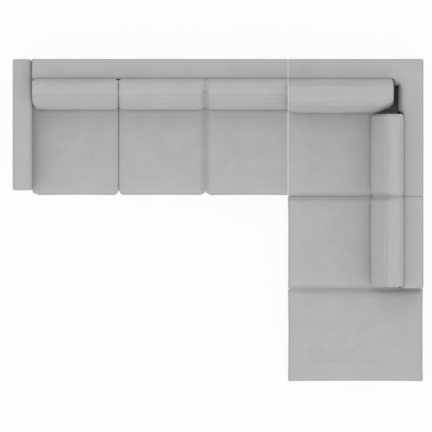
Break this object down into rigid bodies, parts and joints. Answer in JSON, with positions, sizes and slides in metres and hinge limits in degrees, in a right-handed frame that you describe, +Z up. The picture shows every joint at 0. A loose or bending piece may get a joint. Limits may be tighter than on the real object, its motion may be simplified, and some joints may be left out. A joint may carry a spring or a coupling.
{
  "type": "sectional sofa",
  "caption": "L-shaped sectional sofa with an arm at one end, padded low backs, loose seat and back cushions, and a backless ottoman end.",
  "frame": {"origin": "floor level under the middle of the whole sofa's outline", "axes": "+X to the right along the long section, towards the corner; +Y towards the long section's back; +Z up"},
  "size_m": [3.035, 2.38, 0.8345],
  "materials": {
    "grey_fabric": "plain woven upholstery cloth, matt, neutral light grey",
    "pine_timber": "planed, unfinished softwood",
    "elastic_webbing": "woven elastic straps",
    "black_dust_cloth": "thin black non-woven cloth",
    "black_plastic": "moulded, satin",
    "zinc_steel": "zinc plated, satin"
  },
  "bodies": {
    "frame": {"left_arm_cover": "grey_fabric", "left_arm_frame": "pine_timber", "arm_bolt_1": "zinc_steel", "arm_bolt_2": "zinc_steel", "long_base_cover": "grey_fabric", "long_base_frame": "pine_timber", "long_seat_webbing": "elastic_webbing", "long_dust_cover": "black_dust_cloth", "long_back_cover": "grey_fabric", "long_back_frame": "pine_timber", "long_foot_1": "black_plastic", "long_foot_2": "black_plastic", "long_foot_3": "black_plastic", "long_foot_4": "black_plastic", "long_foot_5": "black_plastic", "long_to_corner_link_1": "zinc_steel", "long_to_corner_link_2": "zinc_steel", "corner_base_cover": "grey_fabric", "corner_base_frame": "pine_timber", "corner_seat_webbing": "elastic_webbing", "corner_dust_cover": "black_dust_cloth", "corner_back_cover": "grey_fabric", "corner_back_frame": "pine_timber", "corner_foot_1": "black_plastic", "corner_foot_2": "black_plastic", "corner_foot_3": "black_plastic", "corner_foot_4": "black_plastic", "corner_to_armless_link_1": "zinc_steel", "corner_to_armless_link_2": "zinc_steel", "armless_base_cover": "grey_fabric", "armless_base_frame": "pine_timber", "armless_seat_webbing": "elastic_webbing", "armless_dust_cover": "black_dust_cloth", "armless_back_cover": "grey_fabric", "armless_back_frame": "pine_timber", "armless_foot_1": "black_plastic", "armless_foot_2": "black_plastic", "armless_foot_3": "black_plastic", "armless_foot_4": "black_plastic", "armless_to_ottoman_link": "zinc_steel", "ottoman_base_cover": "grey_fabric", "ottoman_base_frame": "pine_timber", "ottoman_seat_webbing": "elastic_webbing", "ottoman_dust_cover": "black_dust_cloth", "ottoman_foot_1": "black_plastic", "ottoman_foot_2": "black_plastic", "ottoman_foot_3": "black_plastic", "ottoman_foot_4": "black_plastic"},
    "left_seat": {"left_seat_cushion": "grey_fabric"},
    "middle_seat": {"middle_seat_cushion": "grey_fabric"},
    "right_seat": {"right_seat_cushion": "grey_fabric"},
    "corner_seat": {"corner_seat_cushion": "grey_fabric"},
    "armless_seat": {"armless_seat_cushion": "grey_fabric"},
    "ottoman_seat": {"ottoman_seat_cushion": "grey_fabric"},
    "left_back": {"left_back_cushion": "grey_fabric"},
    "middle_back": {"middle_back_cushion": "grey_fabric"},
    "right_back": {"right_back_cushion": "grey_fabric"},
    "corner_rear_back": {"corner_rear_back_cushion": "grey_fabric"},
    "corner_side_back": {"corner_side_back_cushion": "grey_fabric"},
    "armless_back": {"armless_back_cushion": "grey_fabric"}
  },
  "joints": [
    {"name": "left_seat_lift", "type": "slide", "parent": "frame", "child": "left_seat", "axis": [0, 0, 1], "range_m": [0, 0.6]},
    {"name": "middle_seat_lift", "type": "slide", "parent": "frame", "child": "middle_seat", "axis": [0, 0, 1], "range_m": [0, 0.6]},
    {"name": "right_seat_lift", "type": "slide", "parent": "frame", "child": "right_seat", "axis": [0, 0, 1], "range_m": [0, 0.6]},
    {"name": "corner_seat_lift", "type": "slide", "parent": "frame", "child": "corner_seat", "axis": [0, 0, 1], "range_m": [0, 0.6]},
    {"name": "armless_seat_lift", "type": "slide", "parent": "frame", "child": "armless_seat", "axis": [0, 0, 1], "range_m": [0, 0.6]},
    {"name": "ottoman_seat_lift", "type": "slide", "parent": "frame", "child": "ottoman_seat", "axis": [0, 0, 1], "range_m": [0, 0.6]},
    {"name": "left_back_lift", "type": "slide", "parent": "left_seat", "child": "left_back", "axis": [0, 0, 1], "range_m": [0, 0.42]},
    {"name": "middle_back_lift", "type": "slide", "parent": "middle_seat", "child": "middle_back", "axis": [0, 0, 1], "range_m": [0, 0.42]},
    {"name": "right_back_lift", "type": "slide", "parent": "right_seat", "child": "right_back", "axis": [0, 0, 1], "range_m": [0, 0.42]},
    {"name": "corner_rear_back_lift", "type": "slide", "parent": "corner_seat", "child": "corner_rear_back", "axis": [0, 0, 1], "range_m": [0, 0.42]},
    {"name": "corner_side_back_lift", "type": "slide", "parent": "corner_seat", "child": "corner_side_back", "axis": [0, 0, 1], "range_m": [0, 0.42]},
    {"name": "armless_back_lift", "type": "slide", "parent": "armless_seat", "child": "armless_back", "axis": [0, 0, 1], "range_m": [0, 0.42]}
  ]
}
